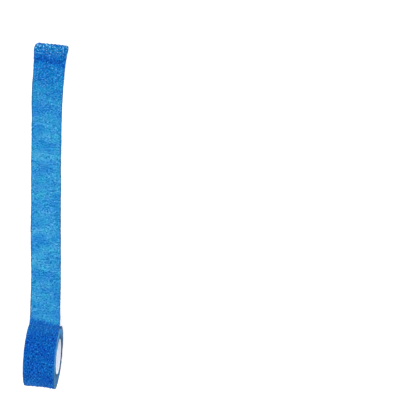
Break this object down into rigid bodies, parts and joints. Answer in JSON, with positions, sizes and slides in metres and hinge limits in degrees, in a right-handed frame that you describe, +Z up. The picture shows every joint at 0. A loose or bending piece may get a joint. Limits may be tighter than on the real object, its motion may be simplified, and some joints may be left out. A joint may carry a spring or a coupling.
{
  "type": "adhesive plaster roll",
  "caption": "Roll of crinkled self-adhesive elastic finger tape on a white tube core, its loose end drawn out flat with a doubled tip.",
  "frame": {"origin": "middle of the flat spot that the roll rests on, straight under the roll's axis", "axes": "+Z up, +Y the way the loose end runs from the roll, X across the tape"},
  "size_m": [0.0307, 0.2863, 0.0491],
  "materials": {
    "wound_crepe": "matt crinkled elastic crepe, many layers deep blue",
    "single_crepe": "matt crinkled elastic crepe, a single sheer layer, paler blue",
    "core_white": "smooth white moulded tube"
  },
  "bodies": {
    "root": {"wound_tape": "wound_crepe", "loose_end": "single_crepe", "core": "core_white"}
  },
  "joints": []
}
